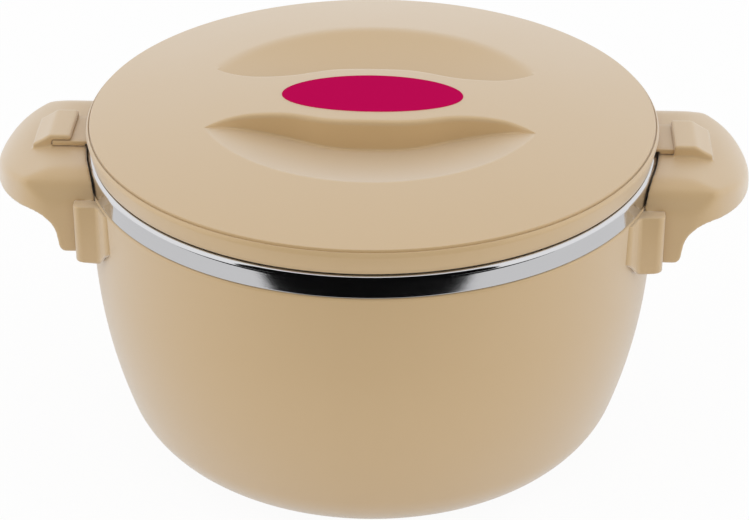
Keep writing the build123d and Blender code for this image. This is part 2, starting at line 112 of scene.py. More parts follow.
class LidSizes(bpy.types.PropertyGroup):
    """Sizes of the lid, its dish, its grip bar and its badge."""

    radius: length("Lid Radius", "Radius of the lid at its widest", SHELL_HIGH.y)
    skirt_bottom: length("Skirt Bottom", "Height of the lower edge of the skirt", 0.1361)
    skirt_height: length("Skirt Height", "Height of the skirt up to the ring groove", 0.0107)
    skirt_taper: length("Skirt Taper", "How far the skirt draws in at its lower edge", 0.0017)
    skirt_wall: length("Skirt Wall", "Thickness of the skirt", 0.0022)
    groove_inset: length("Groove Inset", "How far the ring groove is in from the lid's edge", 0.0013)
    groove_depth: length("Groove Depth", "Depth of the line in the ring groove", 0.0005)
    dome_rise: length("Dome Rise", "Height of the dome over the ring groove", 0.0092)
    skin: length("Lid Skin", "Thickness of the moulded lid", 0.0024)
    dish_radius: length("Dish Radius", "Radius of the round dish", 0.0735)
    dish_depth: length("Dish Depth", "Depth of the dish under the dome's top", 0.0148)
    edge_round: length("Edge Round", "Radius of the lid's outer shoulder", 0.003)
    dish_round: length("Dish Edge Round", "Radius of the dish's outer edge", 0.003)
    dish_back_soft: FloatProperty(
        name="Dish Back Softness", description="How much softer the dish's far edge is than its near edge",
        default=5.0, min=1,
    )
    bar_half_width: length("Bar Half Width", "Half the grip bar's width at its middle", 0.0262)
    bar_draft: FloatProperty(
        name="Bar Draft", description="Lean of the grip bar's sides",
        default=math.radians(3.0), subtype="ANGLE",
    )
    bar_round: length("Bar Edge Round", "Radius along the grip bar's top edges", 0.0028)
    bar_foot: length("Bar Foot Round", "Radius where the grip bar meets the dish", 0.0009)
    badge_length: length("Badge Length", "Length of the oval badge", BADGE_HIGH.x - BADGE_LOW.x)
    badge_width: length("Badge Width", "Width of the oval badge", BADGE_HIGH.y - BADGE_LOW.y)
    badge_proud: length("Badge Proud", "How far the badge stands over the grip bar", 0.0003)
    tongue_width: length("Tongue Width", "Width of the two lock tongues", 0.0216)
    tongue_lead: length("Tongue Lead", "Extra width of the tongues on the side that turns in first", 0.0022)
    tongue_tip: length("Tongue Tip", "Radius of the ends of the lock tongues", LID_HIGH.x)
    tongue_thickness: length("Tongue Thickness", "Thickness of the lock tongues", 0.0022)
    tongue_rise: length("Tongue Rise", "Height of the tongues' tops over the skirt's lower edge", 0.0014)
    tongue_step: length("Tongue Step", "Distance from the lid's edge to the step under each tongue", 0.0007)


class HandleSizes(bpy.types.PropertyGroup):
    """Sizes of the ear handles' finish and of the rails that hold them."""

    grain: length("Remesh Pitch", "Pitch of the handle's surface net", 0.00058)
    soften: IntProperty(
        name="Softening", description="Passes that soften the handle's moulded edges", default=4, min=0,
    )
    ear_soften: IntProperty(
        name="Ear Softening", description="Passes that round the ear round its catch", default=90, min=0,
    )
    fill_start: length(
        "Fill Start", "Distance from the middle at which the tip starts to be filled out", 0.137
    )
    fill_above: length("Fill Above", "Thickness given back on top of the tip", 0.002)
    fill_below: length("Fill Below", "Thickness given back under the tip", 0.0014)
    ear_low: length("Ear Low", "Height at which the ear's rounding starts", 0.1196)
    ear_inner: length("Ear Inner Edge", "Distance of the ear's inner edge from the axis", 0.1212)
    catch_half: length("Catch Half Width", "Half the width of the catch, which stays crisp", 0.0129)
    catch_end: length("Catch End", "Distance of the catch's end from the axis", 0.1424)
    lip_in: length("Lip In", "How far the ear's inner edge is drawn in towards the steel band", 0.0005)
    rail_face: length("Rail Face", "Distance of the rails' outer faces from the middle", 0.1212)
    rail_inner: length("Rail Inner Side", "Distance of the rails' inner sides from the middle", 0.0417)
    rail_width: length("Rail Width", "Width of a rail's post", 0.007)
    rail_bottom: length("Rail Bottom", "Height of the rails' lower ends", 0.0992)
    rail_height: length("Rail Height", "Height of the rails", 0.0259)
    pad_width: length("Pad Width", "Width of the pad beside each rail", 0.008)
    pad_thickness: length("Pad Thickness", "How far the pads stand off the wall", 0.0012)
    pad_fillet: length("Pad Fillet", "Run of the fillet between a rail's post and its pad", 0.0028)
    rail_round: length("Rail Round", "Radius of a rail's outer edge", 0.0034)
    pad_chamfer: length("Pad Slope", "How far the foot of each pad rises over the pad's width", 0.0085)


class BowlFinishes(bpy.types.PropertyGroup):
    """Colours of the pieces."""

    moulding: FloatVectorProperty(
        name="Moulding", description="Colour of the moulded bowl, lid and handles",
        subtype="COLOR", size=3, min=0, max=1, default=(0.555, 0.372, 0.168),
    )
    pan: FloatVectorProperty(
        name="Lid Pan", description="Colour of the pan under the lid",
        subtype="COLOR", size=3, min=0, max=1, default=(0.70, 0.64, 0.54),
    )
    stopper: FloatVectorProperty(
        name="Stoppers", description="Colour of the two filling hole stoppers",
        subtype="COLOR", size=3, min=0, max=1, default=(0.54, 0.38, 0.20),
    )
    steel: FloatVectorProperty(
        name="Steel", description="Colour of the polished steel",
        subtype="COLOR", size=3, min=0, max=1, default=(0.70, 0.70, 0.715),
    )
    seal: FloatVectorProperty(
        name="Seal", description="Colour of the soft ring",
        subtype="COLOR", size=3, min=0, max=1, default=(0.045, 0.045, 0.048),
    )
    badge: FloatVectorProperty(
        name="Badge", description="Colour of the oval badge",
        subtype="COLOR", size=3, min=0, max=1, default=(0.515, 0.0033, 0.085),
    )
    foam: FloatVectorProperty(
        name="Foam", description="Colour of the insulating foam",
        subtype="COLOR", size=3, min=0, max=1, default=(0.80, 0.70, 0.44),
    )


class StageSetup(bpy.types.PropertyGroup):
    """Camera and light of the picture."""

    distance: length("Distance", "From the camera to its aim", 1.1077)
    aim_height: length("Aim Height", "Height of the point that the camera looks at", 0.0759)
    elevation: FloatProperty(
        name="Elevation", description="Camera angle above the table",
        default=math.radians(29.38), subtype="ANGLE",
    )
    azimuth: FloatProperty(
        name="Azimuth", description="Camera angle round the bowl", default=math.radians(2.3), subtype="ANGLE",
    )
    lens: FloatProperty(
        name="Lens", description="Focal length on a 36 mm sensor", default=122.8, unit="CAMERA",
    )
    shift: FloatProperty(
        name="Shift", description="Sideways shift of the picture, as a share of its width",
        default=2.0 / 749,
    )
    sky: FloatProperty(
        name="Sky", description="Strength of the even light all round", default=0.84, min=0,
    )
    sky_gloss: FloatProperty(
        name="Sky Gloss", description="Strength of the surround seen in shiny faces", default=1.0, min=0,
    )
    floor_back: FloatProperty(
        name="Floor Back", description="Strength of the floor behind the bowl seen in shiny faces",
        default=1.0, min=0,
    )
    back_card: FloatProperty(
        name="Back Card", description="Strength of the pale card behind", default=0.94, min=0,
    )
    floor_glow: FloatProperty(
        name="Floor Glow", description="Share of the floor's own white", default=0.94, min=0, max=1,
    )
    floor_gloss: FloatProperty(
        name="Floor Gloss", description="Floor's strength seen in shiny faces", default=0.74, min=0,
    )
    front: FloatProperty(
        name="Front Light", description="Power of the soft light at the front", default=4.2, min=0,
    )
    overhead: FloatProperty(
        name="Overhead Light", description="Power of the soft light above", default=0.3, min=0,
    )
    side: FloatProperty(
        name="Side Lights", description="Power of the soft lights at the sides", default=3.8, min=0,
    )


def sizes():
    return bpy.context.scene.serving_bowl_sizes


def lid_sizes():
    return bpy.context.scene.serving_bowl_lid


def handle_sizes():
    return bpy.context.scene.serving_bowl_handles


def finishes():
    return bpy.context.scene.serving_bowl_finishes


def in_scene(name, data):
    """New object in the scene around a mesh, lamp or camera."""
    made = bpy.data.objects.new(name, data)
    bpy.context.scene.collection.objects.link(made)
    return made


def new_object(name, mesh, material):
    """Put a mesh in the scene as a piece at the origin, smooth and facing outwards."""
    piece = in_scene(name, mesh)
    mesh.materials.clear()
    mesh.materials.append(material)
    net = bmesh.new()
    net.from_mesh(mesh)
    bmesh.ops.remove_doubles(net, verts=net.verts, dist=MERGE)
    bmesh.ops.dissolve_degenerate(net, edges=net.edges, dist=MERGE / 10)
    bmesh.ops.recalc_face_normals(net, faces=net.faces)
    for face in net.faces:
        face.smooth = True
    net.to_mesh(mesh)
    net.free()
    return piece


def settle(piece, body, slot, *nodes):
    """Let a piece ride on its body and stand for its nodes; the slot is not used."""
    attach(piece, body)
    if nodes:
        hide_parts(*nodes)


def evaluated_mesh(holder):
    """Plain mesh of an object with its modifiers applied; the object is removed."""
    graph = bpy.context.evaluated_depsgraph_get()
    mesh = bpy.data.meshes.new_from_object(holder.evaluated_get(graph))
    source = holder.data
    bpy.data.objects.remove(holder)
    bpy.data.meshes.remove(source)
    return mesh


def net_mesh(name, net):
    """Mesh of a net; the net is freed."""
    mesh = bpy.data.meshes.new(name)
    net.to_mesh(mesh)
    net.free()
    return mesh


def carry(part, net):
    """Move one net's shapes into another."""
    mesh = net_mesh("carried", part)
    net.from_mesh(mesh)
    bpy.data.meshes.remove(mesh)


def skin_rings(net, rings):
    """Join a row of vertex rings by faces and cap both ends."""
    count = len(rings[0])
    for a, b in zip(rings, rings[1:]):
        for i in range(count):
            j = (i + 1) % count
            net.faces.new((a[i], a[j], b[j], b[i]))
    net.faces.new(rings[0][::-1])
    net.faces.new(rings[-1])


def bevelled(net, width, steps, angle):
    """Round the edges of a net that turn by more than an angle."""
    bmesh.ops.recalc_face_normals(net, faces=net.faces)
    sharp = [e for e in net.edges if len(e.link_faces) == 2 and e.calc_face_angle(0) > angle]
    bmesh.ops.bevel(
        net, geom=sharp, offset=width, segments=steps, profile=0.5, affect="EDGES", clamp_overlap=True
    )


def read_spots(mesh):
    """Array of a mesh's points."""
    spots = np.empty(3 * len(mesh.vertices))
    mesh.vertices.foreach_get("co", spots)
    return spots.reshape(-1, 3)


def write_spots(mesh, spots):
    """Move a mesh's points to an array's."""
    mesh.vertices.foreach_set("co", spots.ravel())
    mesh.update()


def plug(tree, node, name, value):
    """Set or link one input of a node, by name or place."""
    socket = node.inputs[name]
    if isinstance(value, bpy.types.NodeSocket):
        tree.links.new(value, socket)
    else:
        socket.default_value = value


def plug_all(tree, node, inputs):
    """Set or link inputs of a node from a table, where _ stands for a space."""
    for name, value in inputs.items():
        plug(tree, node, name.replace("_", " "), value)


def add_node(tree, kind, **inputs):
    """Add a node, with input values or links by socket name."""
    node = tree.nodes.new(kind)
    plug_all(tree, node, inputs)
    return node


def place_group(tree, group, **inputs):
    """Put a shared shader group in a material with its own values."""
    node = tree.nodes.new("ShaderNodeGroup")
    node.node_tree = group
    plug_all(tree, node, inputs)
    return node


def maths(tree, operation, first, second=None):
    """Output of a maths node on one or two values or links."""
    node = tree.nodes.new("ShaderNodeMath")
    node.operation = operation
    plug(tree, node, 0, first)
    if second is not None:
        plug(tree, node, 1, second)
    return node.outputs[0]


def summed(tree, first, first_share, second, second_share):
    """Sum of two values, each times its share."""
    return maths(
        tree, "ADD",
        maths(tree, "MULTIPLY", first, first_share),
        maths(tree, "MULTIPLY", second, second_share),
    )


def new_group(name, kind, inputs, outputs):
    """Empty node group with inputs of (name, type, value) and outputs of (name, type)."""
    tree = bpy.data.node_groups.new(name, kind)
    for label, socket_type, value in inputs:
        socket = tree.interface.new_socket(label, in_out="INPUT", socket_type="NodeSocket" + socket_type)
        if value is not None:
            socket.default_value = value
    for label, socket_type in outputs:
        tree.interface.new_socket(label, in_out="OUTPUT", socket_type="NodeSocket" + socket_type)
    return tree, tree.nodes.new("NodeGroupInput").outputs, tree.nodes.new("NodeGroupOutput").inputs


def close_tree(tree, shape, given, end):
    """End a geometry tree: realize its shape and give it the material that is handed in."""
    plain = add_node(tree, "GeometryNodeRealizeInstances", Geometry=shape)
    finish = add_node(
        tree, "GeometryNodeSetMaterial", Geometry=plain.outputs["Geometry"], Material=given["Material"]
    )
    tree.links.new(finish.outputs["Geometry"], end["Geometry"])


def turning_tree():
    """Geometry nodes that turn a section of radii and heights round the Z axis."""
    name = "Turned Section"
    if name in bpy.data.node_groups:
        return bpy.data.node_groups[name]
    tree, given, end = new_group(
        name, "GeometryNodeTree",
        [
            ("Section", "Geometry", None), ("Segments", "Int", 192),
            ("Path Radius", "Float", 0.05), ("Material", "Material", None),
        ],
        [("Geometry", "Geometry")],
    )
    tree.is_modifier = True
    section = add_node(tree, "GeometryNodeMeshToCurve", Mesh=given["Section"])
    path = tree.nodes.new("GeometryNodeCurvePrimitiveCircle")
    path.mode = "RADIUS"
    plug_all(tree, path, {"Resolution": given["Segments"], "Radius": given["Path Radius"]})
    upright = add_node(tree, "GeometryNodeSetCurveNormal", Curve=path.outputs["Curve"])
    upright.mode = "Z_UP"
    sweep = add_node(
        tree, "GeometryNodeCurveToMesh",
        Curve=upright.outputs["Curve"], Profile_Curve=section.outputs["Curve"],
    )
    closed = add_node(tree, "GeometryNodeMergeByDistance", Geometry=sweep.outputs["Mesh"], Distance=MERGE)
    close_tree(tree, closed.outputs["Geometry"], given, end)
    return tree


def repeating_tree():
    """Geometry nodes that repeat a shape evenly round the Z axis."""
    name = "Repeat Round Axis"
    if name in bpy.data.node_groups:
        return bpy.data.node_groups[name]
    tree, given, end = new_group(
        name, "GeometryNodeTree",
        [("Shape", "Geometry", None), ("Count", "Int", 2), ("Material", "Material", None)],
        [("Geometry", "Geometry")],
    )
    tree.is_modifier = True
    points = add_node(tree, "GeometryNodePoints", Count=given["Count"])
    index = tree.nodes.new("GeometryNodeInputIndex").outputs[0]
    turn = maths(tree, "DIVIDE", maths(tree, "MULTIPLY", index, 2 * math.pi), given["Count"])
    euler = add_node(tree, "ShaderNodeCombineXYZ", Z=turn)
    rotation = add_node(tree, "FunctionNodeEulerToRotation", Euler=euler.outputs[0])
    copies = add_node(
        tree, "GeometryNodeInstanceOnPoints", Points=points.outputs[0],
        Instance=given["Shape"], Rotation=rotation.outputs[0],
    )
    close_tree(tree, copies.outputs["Instances"], given, end)
    return tree


def run_tree(holder, tree, **values):
    """Plain mesh that a node tree makes from an object, with its inputs set by name."""
    modifier = holder.modifiers.new(tree.name, "NODES")
    modifier.node_group = tree
    for item in tree.interface.items_tree:
        key = item.name.replace(" ", "_")
        if item.in_out == "INPUT" and key in values:
            modifier[item.identifier] = values[key]
    return evaluated_mesh(holder)


def turned(name, section, material, ring=False):
    """Piece turned from a section of (radius, height) points; a ring's section is closed."""
    path_radius = 0.05
    count = len(section)
    mesh = bpy.data.meshes.new(name)
    edges = [(i, i + 1) for i in range(count - 1)] + ([(count - 1, 0)] if ring else [])
    mesh.from_pydata([(r - path_radius, -z, 0) for r, z in section], edges, [])
    made = run_tree(
        in_scene(name + "_section", mesh), turning_tree(),
        Segments=sizes().segments, Path_Radius=path_radius, Material=material,
    )
    made.name = name
    return new_object(name, made, material)


def repeated(name, mesh, count, material):
    """Piece that repeats a mesh round the Z axis."""
    made = run_tree(in_scene(name + "_shape", mesh), repeating_tree(), Count=count, Material=material)
    made.name = name
    return new_object(name, made, material)


def arc(centre, radius, start, end, steps):
    """Points of an arc between two angles."""
    return [
        (centre[0] + radius * math.cos(a), centre[1] + radius * math.sin(a))
        for a in np.linspace(start, end, steps)
    ]


def rounded(corners, hold=0.0002, steps=6):
    """Section of a polyline of (x, y, radius) corners: round corners, each held by close points."""
    points = []
    count = len(corners)
    for i, (x, y, radius) in enumerate(corners):
        here = Vector((x, y))
        if radius <= 0 or i in (0, count - 1):
            points.append((x, y))
            continue
        back = (Vector(corners[i - 1][:2]) - here).normalized()
        on = (Vector(corners[i + 1][:2]) - here).normalized()
        half = math.acos(max(-1, min(1, back.dot(on)))) / 2
        run = radius / math.tan(half)
        centre = here + (back + on).normalized() * (radius / math.sin(half))
        first, last = here + back * run, here + on * run
        points.append(tuple(first + back * hold))
        turn = (first - centre).angle_signed(last - centre)
        for step in range(steps + 1):
            spoke = (first - centre).copy()
            spoke.rotate(Matrix.Rotation(-turn * step / steps, 2))
            points.append(tuple(centre + spoke))
        points.append(tuple(last + on * hold))
    return points


def eased(value, low, high):
    """Smooth step from 0 to 1 between two values."""
    share = np.clip((value - low) / (high - low), 0, 1)
    return share * share * (3 - 2 * share)


def spline_bends(knots, values):
    """Second derivatives of the natural curve through some points."""
    count = len(knots)
    runs = np.diff(knots)
    left = np.eye(count)
    right = np.zeros(count)
    for i in range(1, count - 1):
        left[i, i - 1 : i + 2] = runs[i - 1], 2 * (runs[i - 1] + runs[i]), runs[i]
        right[i] = 6 * ((values[i + 1] - values[i]) / runs[i] - (values[i] - values[i - 1]) / runs[i - 1])
    return np.linalg.solve(left, right)


def spline_at(knots, values, bends, x):
    """Height of the curve through some points."""
    i = int(np.clip(np.searchsorted(knots, x) - 1, 0, len(knots) - 2))
    run = knots[i + 1] - knots[i]
    a, b = (knots[i + 1] - x) / run, (x - knots[i]) / run
    return float(
        a * values[i] + b * values[i + 1]
        + ((a**3 - a) * bends[i] + (b**3 - b) * bends[i + 1]) * run**2 / 6
    )


class WallCurve:
    """Outline of the bowl's wall: a drafted run, a long arc and a corner arc over the base."""

    def __init__(self, s):
        self.draft = s.wall_draft
        self.normal = Vector((math.cos(self.draft), -math.sin(self.draft)))
        run = Vector((-math.sin(self.draft), -math.cos(self.draft))) * s.wall_straight
        end = Vector((s.rim_radius, s.rim_height)) + run
        self.corner = Vector((s.rim_radius - s.base_inset, s.corner_radius))
        self.corner_radius = s.corner_radius
        span = end - self.corner
        lead = span.dot(self.normal) - s.corner_radius
        self.radius = (span.dot(span) - s.corner_radius**2) / (2 * lead)
        self.centre = end - self.normal * self.radius
        self.knee = (self.corner - self.centre).normalized()

    def at(self, inset, z):
        """Radius of the drafted wall at a height, set in by a depth."""
        foot = self.centre + self.normal * (self.radius - inset)
        return foot.x + (z - foot.y) * math.tan(self.draft)

    def points(self, inset, top):
        """Points from the base up to a height, set in by a depth."""
        knee = math.atan2(self.knee.y, self.knee.x)
        high = math.atan2(self.normal.y, self.normal.x)
        low = arc(self.corner, self.corner_radius - inset, -math.pi / 2, knee, 26)
        side = arc(self.centre, self.radius - inset, knee, high, 22)[1:]
        start = side[-1][1]
        straight = [(self.at(inset, z), z) for z in np.linspace(start, top, 8)[1:]]
        return low + side + straight


class LidForm:
    """Surfaces of the lid: its dome, its dish and the sides of the grip bar across the dish."""

    def __init__(self, lid):
        self.lid = lid
        self.groove = lid.radius - lid.groove_inset
        self.groove_z = lid.skirt_bottom + lid.skirt_height
        apex = self.groove_z + lid.dome_rise
        self.ball = (self.groove**2 + lid.dome_rise**2) / (2 * lid.dome_rise)
        self.middle = apex - self.ball
        floor = apex - lid.dish_depth
        rim = self.middle + math.sqrt(self.ball**2 - lid.dish_radius**2) - floor
        self.dish_ball = (lid.dish_radius**2 + rim**2) / (2 * rim)
        self.dish_middle = floor + self.dish_ball
        kink = lid.dish_radius / self.dish_ball + lid.dish_radius / self.ball
        self.blend = lid.dish_round * kink**2 / 2
        overrun = 0.006
        stations = np.append(np.array(BAR_STATIONS) * lid.dish_radius, lid.dish_radius + overrun)
        offsets = np.array(BAR_WIDTHS) * lid.bar_half_width
        self.knots = np.concatenate((-stations[:0:-1], stations))
        self.values = np.concatenate((offsets[:0:-1], offsets))
        self.bends = spline_bends(self.knots, self.values)
        low, high = 0.8 * lid.dish_radius, lid.dish_radius
        for _ in range(60):
            self.tip = (low + high) / 2
            inside = math.hypot(self.tip, self.side(self.tip)) < lid.dish_radius
            low, high = (self.tip, high) if inside else (low, self.tip)

    def dome(self, r):
        """Height of the dome at a radius."""
        return self.middle + np.sqrt(self.ball**2 - r**2)

    def dish(self, r):
        """Height of the dish at a radius."""
        return self.dish_middle - np.sqrt(np.maximum(self.dish_ball**2 - r**2, 0))

    def crest(self, r, share):
        """Dish and dome with their crease rounded, by a share of the full round."""
        a, b = self.dome(r), self.dish(r)
        width = np.maximum(self.blend * share, 1e-7)
        near = np.maximum(width - np.abs(a - b), 0) / width
        return np.minimum(a, b) - near**2 * width / 4

    def side(self, x):
        """Half the grip bar's width at a place along it."""
        return spline_at(self.knots, self.values, self.bends, x)

    def column(self, x, soft):
        """Points from the bar's middle out to the dish's edge, and how round that edge is there."""
        lid = self.lid
        wall = self.side(x)
        edge = max(math.sqrt(max(lid.dish_radius**2 - x * x, 0)), wall)
        room = edge - wall
        span = math.hypot(x, wall)
        drop = max(float(self.dome(span) - self.dish(span)), 0)
        top_round = lid.bar_round * drop / (drop + lid.bar_round)
        foot_round = min(lid.bar_foot, 0.25 * drop, 0.2 * room)
        lean = min(math.tan(lid.bar_draft) * drop, 0.2 * room)
        fade_run, edge_run = 0.004, 0.0024
        fade = float(eased(room, 0, fade_run)) * soft
        points = []
        for y in (wall - top_round) * np.linspace(0, 1, BAR_ROWS):
            points.append((x, float(y), float(self.dome(math.hypot(x, y)))))
        for turn in np.linspace(0, math.pi / 2, 9)[1:]:
            y = wall - top_round + top_round * math.sin(turn)
            crown = float(self.dome(math.hypot(x, y)))
            points.append((x, y, crown - top_round * (1 - math.cos(turn))))
        head = points[-1][2]
        foot_y = wall + lean
        start = foot_y + foot_round
        foot_z = float(self.crest(math.hypot(x, start), fade))
        foot_top = min(foot_z + foot_round, head)
        for share in (0.06, 0.35, 0.65, 0.94, 1.0):
            points.append((x, wall + lean * share, head + (foot_top - head) * share))
        for turn in np.linspace(0, math.pi / 2, 6)[1:]:
            y = foot_y + foot_round * (1 - math.cos(turn))
            points.append((x, y, foot_top - (foot_top - foot_z) * math.sin(turn)))
        near = min(edge_run, 0.4 * (edge - start))
        floor = list(start + (edge - near - start) * np.linspace(0, 1, FLOOR_ROWS)[1:])
        floor += [edge - near * (1 - share) for share in (0.3, 0.55, 0.8, 1.0)]
        for y in floor:
            points.append((x, float(y), float(self.crest(math.hypot(x, y), fade))))
        return points, fade


def lid_edge(form):
    """Section of the lid's edge: the groove's dark line, the shoulder, the skirt and its inner side."""
    lid, groove = form.lid, form.groove
    shoulder = lid.edge_round
    slot, lip_run, shoulder_run = 0.0001, 0.0003, 0.0004
    turn = math.acos((groove + shoulder_run - (lid.radius - shoulder)) / shoulder)
    bend = arc((lid.radius - shoulder, form.groove_z - shoulder), shoulder, turn, 0, 9)
    outside = lid.radius - lid.skirt_taper
    bore = outside - lid.skirt_wall
    start, lip = groove - GROOVE_APPROACH, groove - lip_run
    slot_floor = bend[0][1] - lid.groove_depth
    return rounded(
        [
            (start, float(form.dome(start)), 0),
            (lip, float(form.dome(lip)), lip_run),
            (groove - slot, slot_floor, slot),
            (groove + slot, slot_floor, slot),
        ]
        + [(r, z, 0) for r, z in bend]
        + [
            (outside, lid.skirt_bottom, 0.0005),
            (bore, lid.skirt_bottom, 0.0004),
            (bore, form.groove_z - lid.skin, 0),
        ],
        hold=0.0001,
        steps=4,
    )


def lid_net(lid):
    """Vertices and faces of the lid's shell: a net that follows the grip bar's sides and the dish."""
    form = LidForm(lid)
    verts, faces = [], []
    front, back, front_fades, back_fades = [], [], [], []
    for x in form.tip * np.sin(np.linspace(-math.pi / 2, math.pi / 2, LID_COLUMNS + 1)):
        points, fade = form.column(float(x), lid.dish_back_soft)
        back_fades.append(fade)
        back.append([len(verts) + i for i in range(len(points))])
        verts.extend(points)
        points, fade = form.column(float(x), 1.0)
        front_fades.append(fade)
        front.append([back[-1][0]] + [len(verts) + i for i in range(len(points) - 1)])
        verts.extend((px, -py, pz) for px, py, pz in points[1:])
    rows = len(back[0])
    for grid in (front, back):
        for i in range(LID_COLUMNS):
            for j in range(rows - 1):
                faces.append((grid[i][j], grid[i + 1][j], grid[i + 1][j + 1], grid[i][j + 1]))

    # The net's border, with how round the dish's edge is there: the front edge, the bar's right end,
    # the back edge and the bar's left end.
    up, down = range(BAR_ROWS), range(BAR_ROWS - 1, 0, -1)
    border = [(front[i][-1], front_fades[i]) for i in range(LID_COLUMNS + 1)]
    border += [(front[-1][j], 0.0) for j in down] + [(back[-1][j], 0.0) for j in up]
    border += [(back[i][-1], back_fades[i]) for i in range(LID_COLUMNS, -1, -1)]
    border += [(back[0][j], 0.0) for j in down] + [(front[0][j], 0.0) for j in up]
    ring = [spot for spot, _ in border]
    fades = np.array([fade for _, fade in border])
    count = len(ring)
    seat = np.array([verts[i][:2] for i in ring])
    spans = np.hypot(seat[:, 0], seat[:, 1])
    spokes = seat / spans[:, None]

    def add_ring(radii, heights):
        """Join the last ring to a new one at a radius and height along each spoke."""
        nonlocal ring
        radii = np.broadcast_to(radii, spans.shape)
        heights = np.broadcast_to(heights, spans.shape)
        made = list(range(len(verts), len(verts) + count))
        verts.extend(
            (float(u[0] * r), float(u[1] * r), float(z)) for u, r, z in zip(spokes, radii, heights)
        )
        for i in range(count):
            j = (i + 1) % count
            faces.append((ring[i], ring[j], made[j], made[i]))
        ring = made

    surround = lid.dish_radius + 0.014
    for share in (0.03, 0.07, 0.12, 0.19, 0.35, 0.62, 1.0):
        radii = spans + (surround - spans) * share
        add_ring(radii, np.where(fades > 0, form.crest(radii, fades), form.dome(radii)))
    for radius in np.linspace(surround, form.groove - GROOVE_APPROACH, 8)[1:]:
        add_ring(radius, form.dome(radius))
    for radius, height in lid_edge(form)[1:]:
        add_ring(radius, height)
    bore = lid.radius - lid.skirt_taper - lid.skirt_wall
    for radius in (bore - 0.01, lid.dish_radius + 0.012, lid.dish_radius, 0.05, 0.025):
        add_ring(radius, float(form.crest(np.array(radius), 1.0)) - lid.skin)
    pole = len(verts)
    verts.append((0.0, 0.0, float(form.crest(np.array(0.0), 1.0)) - lid.skin))
    for i in range(count):
        faces.append((ring[i], ring[(i + 1) % count], pole))
    return verts, faces


def noise_node(tree, vector, scale, detail, roughness):
    """Output of a noise texture."""
    return add_node(
        tree, "ShaderNodeTexNoise", Vector=vector, Scale=scale, Detail=detail, Roughness=roughness
    ).outputs[0]


def gloss_range(tree, value, given):
    """Spread a noise value over a group's Low and High inputs."""
    return add_node(
        tree, "ShaderNodeMapRange", Value=value,
        From_Min=0.3, From_Max=0.7, To_Min=given["Low"], To_Max=given["High"],
    ).outputs[0]


def turned_lines_group():
    """Fine lines that run round a turned piece, from its radius and height."""
    name = "Turned Lines"
    if name in bpy.data.node_groups:
        return bpy.data.node_groups[name]
    tree, given, end = new_group(
        name, "ShaderNodeTree",
        [
            ("Vector", "Vector", None), ("Line Scale", "Float", 5000.0), ("Sweep", "Float", 3.0),
            ("Low", "Float", 0.1), ("High", "Float", 0.2),
        ],
        [("Height", "Float"), ("Roughness", "Float")],
    )
    part = add_node(tree, "ShaderNodeSeparateXYZ", Vector=given["Vector"])
    x, y, z = part.outputs
    span = maths(tree, "SQRT", summed(tree, x, x, y, y))
    angle = maths(tree, "ARCTAN2", y, x)
    lines = add_node(
        tree, "ShaderNodeCombineXYZ",
        X=maths(tree, "MULTIPLY", span, given["Line Scale"]),
        Y=maths(tree, "MULTIPLY", z, given["Line Scale"]),
        Z=maths(tree, "MULTIPLY", angle, given["Sweep"]),
    )
    noise = noise_node(tree, lines.outputs[0], 1.0, 2.0, 0.6)
    cloud = noise_node(tree, given["Vector"], 22.0, 3.0, 0.5)
    spread = gloss_range(tree, summed(tree, noise, 0.5, cloud, 0.5), given)
    tree.links.new(noise, end["Height"])
    tree.links.new(spread, end["Roughness"])
    return tree


def moulding_grain_group():
    """Satin skin of a moulded piece: fine grain, soft clouds of tone and a spread of gloss."""
    name = "Moulding Grain"
    if name in bpy.data.node_groups:
        return bpy.data.node_groups[name]
    tree, given, end = new_group(
        name, "ShaderNodeTree",
        [
            ("Vector", "Vector", None), ("Colour", "Color", None), ("Grain Scale", "Float", 2600.0),
            ("Tone Spread", "Float", 0.03), ("Low", "Float", 0.36), ("High", "Float", 0.48),
        ],
        [("Colour", "Color"), ("Roughness", "Float"), ("Height", "Float")],
    )
    grain = noise_node(tree, given["Vector"], given["Grain Scale"], 2.0, 0.55)
    cloud = noise_node(tree, given["Vector"], 16.0, 4.0, 0.55)
    speck = noise_node(tree, given["Vector"], 900.0, 1.0, 0.5)
    tone = summed(
        tree,
        maths(tree, "SUBTRACT", cloud, 0.5), given["Tone Spread"],
        maths(tree, "SUBTRACT", speck, 0.5), maths(tree, "MULTIPLY", given["Tone Spread"], 0.5),
    )
    tinted = add_node(
        tree, "ShaderNodeHueSaturation", Color=given["Colour"], Value=maths(tree, "ADD", tone, 1.0)
    )
    gloss = gloss_range(tree, summed(tree, cloud, 0.7, speck, 0.3), given)
    tree.links.new(tinted.outputs[0], end["Colour"])
    tree.links.new(gloss, end["Roughness"])
    tree.links.new(grain, end["Height"])
    return tree


def new_material(name):
    """Empty node material with its shader and its Object coordinates."""
    material = bpy.data.materials.new(name)
    material.use_nodes = True
    tree = material.node_tree
    shader = tree.nodes["Principled BSDF"]
    place = tree.nodes.new("ShaderNodeTexCoord").outputs["Object"]
    return material, tree, shader, place


def bump(tree, shader, height, strength, distance):
    """Feed a height into a shader's normal."""
    node = add_node(tree, "ShaderNodeBump", Height=height, Strength=strength, Distance=distance)
    tree.links.new(node.outputs["Normal"], shader.inputs["Normal"])


